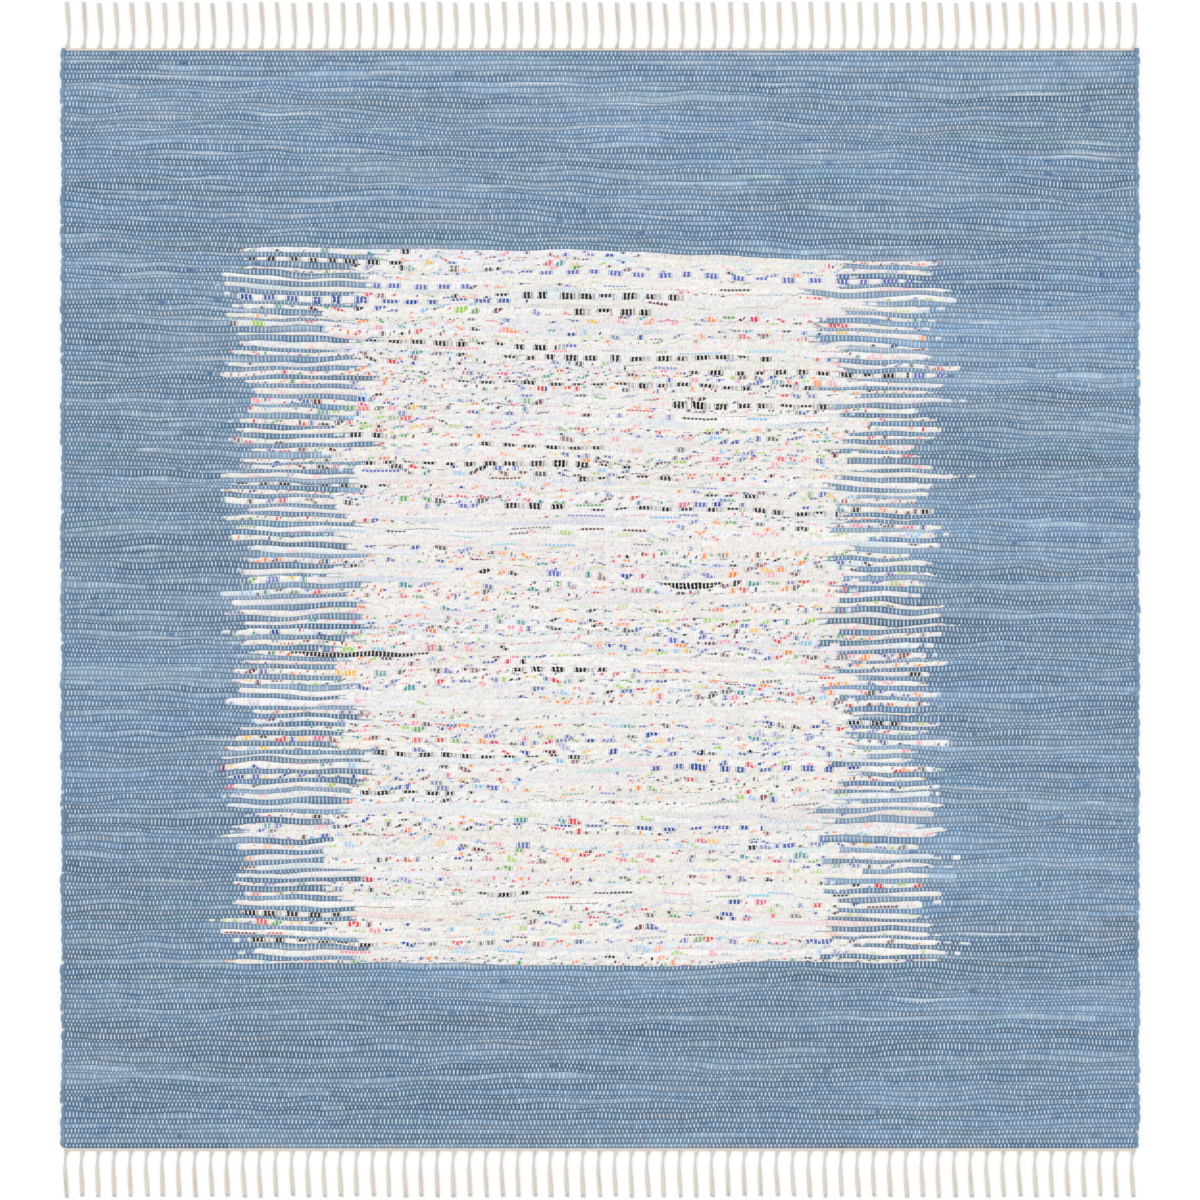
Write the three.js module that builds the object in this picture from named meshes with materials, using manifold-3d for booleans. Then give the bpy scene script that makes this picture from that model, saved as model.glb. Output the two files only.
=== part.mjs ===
// A flat-woven cotton rag rug: a plain-weave field of rag strips, and at each end a narrow
// cotton heading whose warp ends are gathered into a fringe of tassels.
// Millimetres. X runs from selvedge to selvedge, Y along the warp from fringe to fringe, Z up.
// The origin is the centre of the underside, on the floor.
import * as THREE from "three";
import { mergeVertices } from "three/addons/utils/BufferGeometryUtils.js";
import Module from "manifold-3d";

const wasm = await Module();
wasm.setup();

// Field of rag weft
const FIELD_WIDTH = 1830;
const FIELD_LENGTH = 1864;
const PICK_COUNT = 228; // rag strips, each beaten up against the last
const CREST_HEIGHT = 6; // top of the fattest strip
const CREST_DROP = 1.2; // how much lower the thinnest strip stands
const GROOVE_HEIGHT = 3.6; // bottom of the groove between two strips

// Unevenness of the strips
const MEAN_PICK = FIELD_LENGTH / PICK_COUNT;
const PICK_SPREAD = 0.22; // from strip to strip, as a share of the mean strip
const [THIN_PICK, FAT_PICK] = [0.45, 1.55]; // shares of the mean strip at which the crest is lowest and highest
const OWN_WAVE = { depth: 1.3, least: 560, most: 1300 }; // each groove's own wave across the width
const SHARED_WAVES = [
  { depth: 2.4, length: 910, picks: 43 }, // picks is how many strips it takes to shift by a whole wave
  { depth: 1.6, length: 640, picks: -27 },
];
const SLANT = { drop: 18, share: 0.8, power: 4 }; // rows slope down to the right, most at this share up
const SETTLE_PICKS = 8; // the rows are straight at the ends, and wander fully this many strips in

// Selvedges, where each strip turns back round the outermost warp
const TURN_PINCH = 1.4; // the edge draws in this far between two turns
const TURN_SPREAD = 1.3; // and turns differ by this much
const SELVEDGE_WAVE = { depth: 1.3, length: 167 };
const UNDERSIDE_INSET = 1.5; // the rounded edge leaves the floor this far in

// Fringe, the same at both ends
const TASSEL_COUNT = 67;
const TASSEL_SPAN = 1812; // between the middles of the first and last tassel
const HEADING_LENGTH = 1822;
const HEADING_WIDTH = 4.2;
const HEADING_HEIGHT = 2.6;
const PART_GAP = 0.3; // between the field and the heading
const ROOT_OVERLAP = 2.4; // how far a tassel's warp ends run into the heading
const TASSEL_SHOULDER = 0.7; // a tassel's top as a share of its foot
const TASSEL_SWAY = 1.2; // each tassel's own sideways drift at its tip
const TASSEL_TRIM = 2.5; // uneven cutting of the tips

// A tassel from its root: warp ends gathered, twisted thin at the neck, then fanning out.
// All lie flat on the floor. along is from the heading's edge, lean is sideways to the right.
const TASSEL_SECTIONS = [
  { along: -ROOT_OVERLAP, halfWidth: 6.4, height: 3.1, lean: 0 },
  { along: 4.5, halfWidth: 5.2, height: 3.6, lean: 1 },
  { along: 14, halfWidth: 2.9, height: 4.4, lean: 4 },
  { along: 44, halfWidth: 4.7, height: 4.8, lean: 2.6 },
  { along: 79.5, halfWidth: 5, height: 3.6, lean: 0.8 },
];

// Facets
const FIELD_COLUMNS = 8; // across the width
const FLOOR_STEP = 12; // strip crests and grooves for each point of the underside's outline

const FIELD_COLOUR = 0x899eb4;
const FRINGE_COLOUR = 0xe1dad1;

// What a strip's or a tassel's scattered numbers are used for
const USE = { fatness: 1, waveLength: 2, wavePlace: 3, rightTurn: 4, leftTurn: 5, trim: 7, sway: 8 };

// A repeatable number from 0 to 1 for one strip or tassel and one use of it
function scatter(index, use) {
  const [indexStep, useStep, gain] = [12.9898, 78.233, 43758.5453];
  const wave = Math.sin(index * indexStep + use * useStep) * gain;
  return wave - Math.floor(wave);
}

// How far a groove strays at x from the straight line it would follow
function stray(groove, x) {
  const ownLength = THREE.MathUtils.lerp(OWN_WAVE.least, OWN_WAVE.most, scatter(groove, USE.waveLength));
  let total = OWN_WAVE.depth * Math.sin(2 * Math.PI * (x / ownLength + scatter(groove, USE.wavePlace)));
  for (const { depth, length, picks } of SHARED_WAVES) {
    total += depth * Math.sin(2 * Math.PI * (x / length + groove / picks));
  }
  const share = groove / PICK_COUNT;
  const slope = (share / SLANT.share) ** SLANT.power * ((1 - share) / (1 - SLANT.share));
  total -= SLANT.drop * slope * (x / (FIELD_WIDTH / 2));
  return total * Math.min(1, groove / SETTLE_PICKS, (PICK_COUNT - groove) / SETTLE_PICKS);
}

// Where the grooves cross one warp end: PICK_COUNT + 1 places along Y that fill the field exactly
function groovePlaces(x) {
  const sums = [0];
  for (let pick = 0; pick < PICK_COUNT; pick++) {
    sums.push(sums[pick] + 1 + PICK_SPREAD * (2 * scatter(pick, USE.fatness) - 1));
  }
  const scale = FIELD_LENGTH / sums[PICK_COUNT];
  return sums.map((sum, groove) => sum * scale - FIELD_LENGTH / 2 + stray(groove, x));
}

// Half the field's width at a row. Even rows are grooves and odd rows are the strips' crests.
function halfWidthAt(row, side, y) {
  const pick = Math.floor(row / 2);
  const isGroove = row % 2 === 0;
  const wave = 1 - Math.cos((2 * Math.PI * y) / SELVEDGE_WAVE.length);
  const turn = isGroove ? TURN_PINCH : TURN_SPREAD * scatter(pick, side > 0 ? USE.rightTurn : USE.leftTurn);
  return FIELD_WIDTH / 2 - (SELVEDGE_WAVE.depth / 2) * wave - turn;
}

// A groove's height, or a crest's by how fat its strip is there
function heightAt(row, thickness) {
  const fatness = THREE.MathUtils.smoothstep(thickness, THIN_PICK, FAT_PICK);
  return row % 2 === 0 ? GROOVE_HEIGHT : CREST_HEIGHT - CREST_DROP * (1 - fatness);
}

// A mesh under construction: points and the triangles between them
class Facets {
  points = [];
  triangles = [];

  point(x, y, z) {
    return this.points.push(x, y, z) / 3 - 1;
  }

  triangle(a, b, c) {
    this.triangles.push(a, b, c);
  }

  quad(a, b, c, d) {
    this.triangle(a, b, c);
    this.triangle(a, c, d);
  }

  geometry() {
    const made = new THREE.BufferGeometry();
    made.setAttribute("position", new THREE.Float32BufferAttribute(this.points, 3));
    return made.setIndex(this.triangles);
  }
}

// One wall down from a selvedge's crests and grooves to the sparser outline on the floor
function selvedgeWall(facets, top, floor, side) {
  const face = (a, b, c) => (side > 0 ? facets.triangle(a, b, c) : facets.triangle(b, a, c));
  for (let step = 0; step + 1 < floor.length; step++) {
    const [near, far] = [floor[step], floor[step + 1]];
    const first = step * FLOOR_STEP;
    const middle = first + FLOOR_STEP / 2;
    for (let row = first; row < first + FLOOR_STEP; row++) {
      face(top[row + 1], top[row], row < middle ? near : far);
    }
    face(near, far, top[middle]);
  }
}

// The woven field: ribbed on top, flat underneath, with uneven selvedges
function fieldGeometry() {
  const facets = new Facets();
  const rowCount = 2 * PICK_COUNT + 1;
  const shares = Array.from({ length: FIELD_COLUMNS + 1 }, (_, c) => (2 * c) / FIELD_COLUMNS - 1);
  const grooves = shares.map((share) => groovePlaces((share * FIELD_WIDTH) / 2));

  const grid = [];
  for (let row = 0; row < rowCount; row++) {
    const pick = Math.min(Math.floor(row / 2), PICK_COUNT - 1);
    grid.push(
      shares.map((share, c) => {
        const isCrest = row % 2 === 1;
        const y = isCrest ? (grooves[c][pick] + grooves[c][pick + 1]) / 2 : grooves[c][row / 2];
        const x = share * halfWidthAt(row, share, y);
        const thickness = (grooves[c][pick + 1] - grooves[c][pick]) / MEAN_PICK;
        return facets.point(x, y, heightAt(row, thickness));
      }),
    );
  }
  for (let row = 0; row + 1 < rowCount; row++) {
    for (let c = 0; c < FIELD_COLUMNS; c++) {
      facets.quad(grid[row][c], grid[row][c + 1], grid[row + 1][c + 1], grid[row + 1][c]);
    }
  }

  const floorLine = (side) => {
    const column = side > 0 ? FIELD_COLUMNS : 0;
    const line = [];
    for (let row = 0; row < rowCount; row += FLOOR_STEP) {
      const x = facets.points[3 * grid[row][column]];
      const y = facets.points[3 * grid[row][column] + 1];
      line.push(facets.point(x - side * UNDERSIDE_INSET, y, 0));
    }
    return line;
  };
  const [leftFloor, rightFloor] = [floorLine(-1), floorLine(1)];
  selvedgeWall(facets, grid.map((row) => row[0]), leftFloor, -1);
  selvedgeWall(facets, grid.map((row) => row[FIELD_COLUMNS]), rightFloor, 1);
  for (let step = 0; step + 1 < leftFloor.length; step++) {
    facets.quad(leftFloor[step], leftFloor[step + 1], rightFloor[step + 1], rightFloor[step]);
  }

  // End walls, fanned from one lower corner
  const [front, back] = [grid[0], grid[rowCount - 1]];
  for (let c = 0; c < FIELD_COLUMNS; c++) {
    facets.triangle(leftFloor[0], front[c + 1], front[c]);
    facets.triangle(leftFloor.at(-1), back[c], back[c + 1]);
  }
  facets.triangle(leftFloor[0], rightFloor[0], front[FIELD_COLUMNS]);
  facets.triangle(leftFloor.at(-1), back[FIELD_COLUMNS], rightFloor.at(-1));
  return facets.geometry();
}

// A tassel of four sides, standing on the floor all along. Its root is at the origin, along +Y.
function tasselGeometry(tassel) {
  const facets = new Facets();
  const length = TASSEL_SECTIONS.at(-1).along;
  const trim = TASSEL_TRIM * scatter(tassel, USE.trim);
  const sway = TASSEL_SWAY * (2 * scatter(tassel, USE.sway) - 1);
  const rings = TASSEL_SECTIONS.map(({ along, halfWidth, height, lean }) => {
    const share = Math.max(0, along) / length;
    const x = lean + sway * share * share;
    const y = along - trim * share;
    return [
      facets.point(x - halfWidth, y, 0),
      facets.point(x + halfWidth, y, 0),
      facets.point(x + halfWidth * TASSEL_SHOULDER, y, height),
      facets.point(x - halfWidth * TASSEL_SHOULDER, y, height),
    ];
  });
  for (let ring = 0; ring + 1 < rings.length; ring++) {
    const [near, far] = [rings[ring], rings[ring + 1]];
    for (let side = 0; side < near.length; side++) {
      const next = (side + 1) % near.length;
      facets.quad(near[next], near[side], far[side], far[next]);
    }
  }
  const [root, tip] = [rings[0], rings.at(-1)];
  facets.quad(root[0], root[1], root[2], root[3]);
  facets.quad(tip[3], tip[2], tip[1], tip[0]);
  return facets.geometry();
}

// A closed geometry as a solid that can be joined to others
function solidOf(geometry) {
  const bare = geometry.clone();
  bare.deleteAttribute("normal");
  bare.deleteAttribute("uv");
  const merged = mergeVertices(bare);
  return new wasm.Manifold(
    new wasm.Mesh({
      numProp: 3,
      vertProperties: merged.attributes.position.array,
      triVerts: new Uint32Array(merged.index.array),
    }),
  );
}

function geometryOf(solid) {
  const mesh = solid.getMesh();
  const made = new THREE.BufferGeometry();
  made.setAttribute("position", new THREE.BufferAttribute(mesh.vertProperties, 3));
  return made.setIndex(new THREE.BufferAttribute(mesh.triVerts, 1));
}

// The heading with its tassels, heading's outer edge on the X axis and tassels along +Y
function fringeGeometry(firstTassel) {
  const heading = new THREE.BoxGeometry(HEADING_LENGTH, HEADING_WIDTH, HEADING_HEIGHT);
  heading.translate(0, -HEADING_WIDTH / 2, HEADING_HEIGHT / 2);
  let joined = solidOf(heading);
  const pitch = TASSEL_SPAN / (TASSEL_COUNT - 1);
  for (let tassel = 0; tassel < TASSEL_COUNT; tassel++) {
    const geometry = tasselGeometry(firstTassel + tassel);
    geometry.translate(tassel * pitch - TASSEL_SPAN / 2, 0, 0);
    joined = joined.add(solidOf(geometry));
  }
  return geometryOf(joined);
}

function cottonPiece(name, geometry, colour) {
  geometry.computeVertexNormals();
  const material = new THREE.MeshStandardMaterial({ color: colour, roughness: 0.95, metalness: 0 });
  const mesh = new THREE.Mesh(geometry, material);
  mesh.name = name;
  return mesh;
}

const rug = new THREE.Group();
rug.add(cottonPiece("woven_field", fieldGeometry(), FIELD_COLOUR));

const headingEdge = FIELD_LENGTH / 2 + PART_GAP + HEADING_WIDTH;
const farFringe = cottonPiece("fringe_far", fringeGeometry(0), FRINGE_COLOUR);
farFringe.position.y = headingEdge;
rug.add(farFringe);

const nearFringe = cottonPiece("fringe_near", fringeGeometry(TASSEL_COUNT), FRINGE_COLOUR);
nearFringe.position.y = -headingEdge;
nearFringe.rotation.z = Math.PI;
rug.add(nearFringe);

export default rug;
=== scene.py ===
# %% [markdown]
# # A cotton rag rug
# The rug is a flat, square weave. A thin cotton warp runs from fringe to fringe, and rag strips cross
# it from selvedge to selvedge: blue cloth for the border, light printed cloth for the centre panel.
# At both ends the warp is closed by a cream heading and gathered into tassels.
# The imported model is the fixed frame, in metres: X along the weft, Y along the warp, Z up from the floor.

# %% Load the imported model
import math

import bpy
import numpy as np
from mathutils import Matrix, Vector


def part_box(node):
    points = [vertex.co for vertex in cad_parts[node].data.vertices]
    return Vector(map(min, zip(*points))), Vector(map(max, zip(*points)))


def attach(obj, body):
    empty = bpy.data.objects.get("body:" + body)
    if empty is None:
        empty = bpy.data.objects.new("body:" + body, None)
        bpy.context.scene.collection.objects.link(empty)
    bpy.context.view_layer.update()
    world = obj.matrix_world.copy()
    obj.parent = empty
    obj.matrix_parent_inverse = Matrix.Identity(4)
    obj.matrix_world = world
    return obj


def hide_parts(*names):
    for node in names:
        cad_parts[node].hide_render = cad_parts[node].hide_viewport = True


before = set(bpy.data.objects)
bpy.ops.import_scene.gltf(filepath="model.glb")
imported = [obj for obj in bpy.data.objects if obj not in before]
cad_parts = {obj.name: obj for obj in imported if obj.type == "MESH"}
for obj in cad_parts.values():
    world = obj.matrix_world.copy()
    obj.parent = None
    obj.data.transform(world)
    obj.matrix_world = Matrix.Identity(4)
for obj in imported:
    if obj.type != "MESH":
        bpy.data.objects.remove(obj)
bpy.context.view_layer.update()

field_low, field_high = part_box("woven_field")
print("field", [round(size, 4) for size in field_high - field_low])

# %% [markdown]
# ## The sizes of the weave
# A plain weave is a grid. Each rag strip laid across is a pick, and each thread it crosses is a warp end.
# The box of the cloth comes from the frame. The counts are those of the real cloth: about eight warp ends
# to the inch, and rag strips about eight millimetres wide.

# %% Sizes of the cloth
MM = 0.001
FIELD_WIDTH = 1830 * MM
FIELD_LENGTH = field_high.y - field_low.y
PICKS = 228
ENDS = 568
END_PITCH = FIELD_WIDTH / ENDS
CREST_HEIGHT = field_high.z
CREST_DROP = 1.2 * MM
GROOVE_HEIGHT = 3.6 * MM
END_HEIGHT = 2.4 * MM  # of the first and last groove, where the cloth slopes down to the heading
END_TUCK = 1.0 * MM  # the first and last strip are drawn in this far from the frame's end
DIMPLE = 1.0 * MM  # how far a warp end presses into the strip it crosses
print(f"warp end every {END_PITCH / MM:.2f} mm, pick every {FIELD_LENGTH / PICKS / MM:.2f} mm")

# %% [markdown]
# ## Uneven strips
# Rag strips are torn by hand, so each has its own width. They are packed against each other, so the rows
# also wander: a groove has a long wave of its own, shares others with its neighbours, and the far rows
# slope. `scatter` gives a repeatable number for a strip, so the ribs here lie where the frame's ribs lie.

# %% Where the grooves between strips run
PICK_SPREAD = 0.22
OWN_WAVE = dict(depth=1.3 * MM, least=560 * MM, most=1300 * MM)
SHARED_WAVES = [
    dict(depth=2.4 * MM, length=910 * MM, picks=43),
    dict(depth=1.6 * MM, length=640 * MM, picks=-27),
]
SLANT = dict(drop=18 * MM, share=0.8, power=4)
SCATTER = dict(index=12.9898, use=78.233, size=43758.5453)
# A number of its own for each use of scatter
USE = dict(
    fatness=1, wave_length=2, wave_place=3, right_turn=4, left_turn=5, trim=7, sway=8,
    raggedness=21, thickness=22, first_angle=23, own_angle=24, splay=25,
)
lines = np.arange(PICKS + 1)[:, None]


def scatter(index, use):
    """A repeatable number from 0 to 1, from the last digits of a large sine."""
    wave = np.sin(np.asarray(index) * SCATTER["index"] + use * SCATTER["use"]) * SCATTER["size"]
    return wave - np.floor(wave)


def straight_grooves():
    widths = 1 + PICK_SPREAD * (2 * scatter(np.arange(PICKS), USE["fatness"]) - 1)
    sums = np.concatenate([[0], np.cumsum(widths)])
    return (sums[:, None] / sums[-1] - 0.5) * (FIELD_LENGTH - 2 * END_TUCK)


def long_waves(x):
    length = OWN_WAVE["least"] + (OWN_WAVE["most"] - OWN_WAVE["least"]) * scatter(lines, USE["wave_length"])
    total = OWN_WAVE["depth"] * np.sin(2 * np.pi * (x / length + scatter(lines, USE["wave_place"])))
    for wave in SHARED_WAVES:
        total += wave["depth"] * np.sin(2 * np.pi * (x / wave["length"] + lines / wave["picks"]))
    share = lines / PICKS
    slope = (share / SLANT["share"]) ** SLANT["power"] * (1 - share) / (1 - SLANT["share"])
    return total - SLANT["drop"] * slope * x / (FIELD_WIDTH / 2)


# %% [markdown]
# ## Small waves
# Close up, rows also bend over a hand's width, a few rows together, and each groove has shorter bends of its
# own, so a strip swells and narrows along its length. These are too small for the frame's solids. Weak sine
# waves with seeded lengths and places add up to that.

# %% Bend the rows a little more
chance = np.random.default_rng(20)
BENDS = dict(count=28, depth=0.3 * MM, lengths=(85 * MM, 340 * MM), picks=(6, 24))
OWN_BENDS = [
    dict(depth=0.65 * MM, lengths=(150 * MM, 360 * MM)),
    dict(depth=0.5 * MM, lengths=(80 * MM, 170 * MM)),
    dict(depth=0.25 * MM, lengths=(30 * MM, 80 * MM)),
]


def small_waves(x):
    total = np.zeros((PICKS + 1, len(x)))
    for _ in range(BENDS["count"]):
        length = chance.uniform(*BENDS["lengths"])
        picks = chance.uniform(*BENDS["picks"]) * chance.choice([-1, 1])
        total += BENDS["depth"] * np.sin(2 * np.pi * (x / length + lines / picks + chance.random()))
    for bend in OWN_BENDS:
        length = chance.uniform(*bend["lengths"], lines.shape)
        total += bend["depth"] * np.sin(2 * np.pi * (x / length + chance.random(lines.shape)))
    return total


# %% [markdown]
# ## Where the warp ends lie
# The weft draws the warp together towards the selvedges, so the ends are closest there. There is a column of
# points at every warp end, and one more at each side to round the selvedge. Towards the two fringes the rows
# settle into straight lines.

# %% Columns of points, and the grooves at each of them
EXTRA_COLUMN = 0.3  # warp ends from a selvedge to the column that rounds it
CROWDING = dict(share=0.014, power=6)
SETTLE_PICKS = 8
end_places = np.concatenate([[0, EXTRA_COLUMN], np.arange(1, ENDS), [ENDS - EXTRA_COLUMN, ENDS]])
sideways = 2 * end_places / ENDS - 1
drawn_in = 1 + CROWDING["share"] * (1 - np.abs(sideways) ** CROWDING["power"])
column_x = FIELD_WIDTH / 2 * sideways * drawn_in
COLUMNS = len(column_x)
settled = np.clip(np.minimum(lines, PICKS - lines) / SETTLE_PICKS, 0, 1)
grooves = straight_grooves() + settled * (long_waves(column_x) + small_waves(column_x))
strip_widths = np.diff(grooves, axis=0)
print("strip widths in mm", np.round(np.percentile(strip_widths / MM, [0, 1, 50, 99, 100]), 1))

# %% [markdown]
# ## The relief of a plain weave
# Every strip goes over one warp end and under the next, and its neighbour does the opposite. So the cloth
# is a field of small pillows in a brick pattern, with a dimple wherever a warp end crosses on top. A fat
# strip stands higher than a thin one. At the selvedges a strip turns round the last warp ends and comes
# back as the next pick, so there it covers the groove between the two.

# %% Heights of the crests and the grooves
THIN_PICK, FAT_PICK = 0.45, 1.55  # shares of the mean strip at which its crest is lowest and highest
SELVEDGE_ENDS = 2.5  # warp ends hidden inside a turn
COVER_GONE = 1.6  # a turn no longer covers the groove at this many times those ends
COVER_RISE = 0.9  # share of a groove's depth that a turn fills

pick_numbers = np.arange(PICKS)
from_edge = np.minimum(end_places, ENDS - end_places)
is_left = end_places < ENDS / 2
warp_on_top = (pick_numbers[:, None] + np.round(end_places)[None, :]) % 2 == 1
warp_on_top &= from_edge > SELVEDGE_ENDS


def crest_heights():
    thin, fat = THIN_PICK * FIELD_LENGTH / PICKS, FAT_PICK * FIELD_LENGTH / PICKS
    share = np.clip((strip_widths - thin) / (fat - thin), 0, 1)
    fatness = share * share * (3 - 2 * share)
    return CREST_HEIGHT - CREST_DROP * (1 - fatness) - DIMPLE * warp_on_top


def wrapped_grooves():
    """For each groove and column, how much a turn of the weft covers it: 1 at a covered selvedge."""
    covered = np.where(is_left[None, :], lines % 2 == 1, lines % 2 == 0)
    return covered * np.clip(COVER_GONE - from_edge / SELVEDGE_ENDS, 0, 1)[None, :]


crests = crest_heights()
groove_cover = wrapped_grooves()
above_groove = np.vstack([crests[:1], (crests[1:] + crests[:-1]) / 2, crests[-1:]])
groove_heights = GROOVE_HEIGHT + COVER_RISE * groove_cover * (above_groove - GROOVE_HEIGHT)
groove_heights[[0, -1]] = END_HEIGHT + groove_cover[[0, -1]] * (GROOVE_HEIGHT - END_HEIGHT)
print("crests in mm", np.round(np.percentile(crests / MM, [1, 50, 99]), 2))

# %% [markdown]
# ## Rows of points
# Three rows of points for each strip, a groove and two shoulders, are enough to round it once the mesh is
# shaded smooth. More rows would only add triangles.

# %% Rows in order, from the near end to the far end
SHOULDERS = np.array([0, 0.27, 0.73])  # places of a pick's rows of points across its width
ROWS = len(SHOULDERS)
EDGE_ROUNDING = ([0, EXTRA_COLUMN, 1.2], [0.4, 0.8, 1.0])  # warp ends from the selvedge, share of the height


def surface_rows(at_groove, at_shoulder):
    """Rows of points in order: each pick's groove and shoulders, then the last groove."""
    rows = np.repeat(at_shoulder, ROWS, axis=0)
    rows[::ROWS] = at_groove[:-1]
    return np.vstack([rows, at_groove[-1:]])


pick_places = np.concatenate([(pick_numbers[:, None] + SHOULDERS).ravel(), [PICKS]])
across = grooves[:-1, None, :] + SHOULDERS[None, :, None] * strip_widths[:, None, :]
surface_y = np.vstack([across.reshape(-1, COLUMNS), grooves[-1:]])
surface_z = surface_rows(groove_heights, crests) * np.interp(from_edge, *EDGE_ROUNDING)
cover = surface_rows(groove_cover, np.zeros_like(crests))
print("surface", surface_z.shape, "points")

# %% [markdown]
# ## Selvedges and corners
# A strip's two picks share one fat lump where it turns, so a selvedge is a row of uneven, rounded lumps. The
# near corners are drawn in, and at the far corners the last turns stand out beside the heading. Only the
# outermost columns move, so a row of numbers for each side is enough.

# %% Draw the selvedges in and out
TURN_PINCH = 1.8 * MM  # how much deeper the outline dips between two turns
TURN_SPREAD = 3.2 * MM  # turns reach out unevenly by up to this
SELVEDGE_WAVE = dict(depth=0.9 * MM, length=167 * MM)
SELVEDGE_OUT = 3.0 * MM  # the turns bulge this far past the outermost warp end
SCALLOP_REACH = 6  # warp ends over which a turn's scallop dies away
FAR_SPREAD = dict(out=1.6 * MM, picks=8)  # the cloth is a little wider at its far end
NEAR_ROUNDING = np.array([3.6, 1.8, 0.6]) * MM  # of the first rows of points
CORNER_TURN = 6 * MM  # how far the last turns at the far end stand out
CORNER_ROWS = [1, 0.75, 0.2]  # shares of that for the last rows of points
CORNER_ROUNDING = ([0, EXTRA_COLUMN, 1, 2, 3], [0.5, 0.85, 1, 0.75, 0])


def selvedge_shift():
    """How far each row of points draws in from the full width, at the left and at the right."""
    phase = 2 * np.pi * surface_y[:, [0, -1]] / SELVEDGE_WAVE["length"]
    wave = SELVEDGE_WAVE["depth"] / 2 * (1 - np.cos(phase))
    turns = []
    for first_of_pair, use in ((0, USE["left_turn"]), (1, USE["right_turn"])):
        pair = (pick_numbers + first_of_pair) // 2
        at_pick = TURN_SPREAD * scatter(pair, use)
        around = np.concatenate([at_pick[:1], at_pick, at_pick[-1:]])
        at_groove = (around[lines] + around[lines + 1]) / 2
        lump = ((pick_places + first_of_pair) % 2 - 1) ** 2
        turns.append(surface_rows(at_groove, at_pick[:, None])[:, 0] + TURN_PINCH * lump)
    return wave + np.stack(turns, axis=1) - SELVEDGE_OUT


shift = selvedge_shift()
shift[: len(NEAR_ROUNDING)] += NEAR_ROUNDING[:, None]
shift -= FAR_SPREAD["out"] * np.clip(1 - (PICKS - pick_places[:, None]) / FAR_SPREAD["picks"], 0, 1)
scallop = np.clip(1 - from_edge / SCALLOP_REACH, 0, 1)
surface_x = column_x + np.where(is_left, shift[:, :1] * scallop, -shift[:, 1:] * scallop)
corner = CORNER_TURN * np.interp(from_edge, *CORNER_ROUNDING)
for row, share in enumerate(CORNER_ROWS):
    surface_y[-1 - row] += share * corner
print("selvedges draw in by", np.round(np.percentile(shift / MM, [0, 50, 100]), 1), "mm")

# %% [markdown]
# ## A chart of the rags
# Colour in this cloth belongs to the strips, so it is worked out strip by strip before any mesh exists. The
# chart holds a colour for every pick, at four places across its width, at every warp end. A fourth number
# says how clearly the warp shows on top. The weft is one long line that turns at each selvedge, so what
# varies along it is made as one line and then folded back and forth into picks. All chance is seeded.

# %% Tools for the chart
PLACES = ROWS + 1
BELL_REACH = 3  # a bell curve is cut off at this many times its span


def linear(red, green, blue):
    """Screen values from 0 to 255 as the linear light that materials use, by the standard screen curve."""
    screen = np.array([red, green, blue]) / 255
    return np.where(screen <= 0.04045, screen / 12.92, ((screen + 0.055) / 1.055) ** 2.4)


def folded(line):
    rows = line.reshape(PICKS, COLUMNS).copy()
    rows[1::2] = rows[1::2, ::-1]
    return rows


def bell(span):
    far = math.ceil(BELL_REACH * span)
    reach = np.arange(-far, far + 1)
    return np.exp(-0.5 * (reach / span) ** 2)


def weft_noise(span):
    """Smooth noise along the weft that changes over about span warp ends, with a spread of 1."""
    smooth = np.convolve(chance.standard_normal(PICKS * COLUMNS), bell(span), "same")
    return folded(smooth / smooth.std())


def column_of(x):
    return int(np.clip(np.searchsorted(column_x, x), 0, COLUMNS - 1))


# %% [markdown]
# ## Blue border strips
# The border is torn from a few blue cottons that have faded differently. A strip shows its face and its
# paler back as it twists, so its shade drifts along its length, and its two edges differ a little.

# %% Lay the blue strips
BLUE_CLOTHS = [
    dict(name="chambray", colour=linear(107, 137, 166), share=0.43),
    dict(name="faded", colour=linear(120, 147, 173), share=0.22),
    dict(name="grey blue", colour=linear(117, 139, 162), share=0.16),
    dict(name="deep", colour=linear(96, 126, 156), share=0.12),
    dict(name="pale", colour=linear(137, 163, 186), share=0.04),
    dict(name="sea blue", colour=linear(102, 138, 159), share=0.03),
]
STRIP_ENDS = 85  # mean length of a blue strip, in warp ends
STRIP_EVENNESS = 1.3  # a higher number gives fewer very short and very long strips
CLOTH_SPREAD = 0.075  # how much the shade differs between strips of the same cloth
SHADE_DRIFTS = [dict(span=60, depth=0.04), dict(span=14, depth=0.05), dict(span=3, depth=0.06)]
EDGE_DRIFT = dict(span=14, depth=0.075)
BATCHES = [dict(ends=60, picks=4, depth=0.075), dict(ends=25, picks=1.5, depth=0.05)]
PALER_TOWARDS = dict(right=0.07, far=0.06)  # the blue is a little paler towards the right and towards the far end


def batch_noise(ends, picks):
    """Smooth noise over the cloth, because the same batch of rags is used for a few picks in turn."""
    noise = chance.standard_normal((PICKS, COLUMNS))
    noise = np.apply_along_axis(np.convolve, 1, noise, bell(ends), "same")
    noise = np.apply_along_axis(np.convolve, 0, noise, bell(picks), "same")
    return noise / noise.std()


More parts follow.
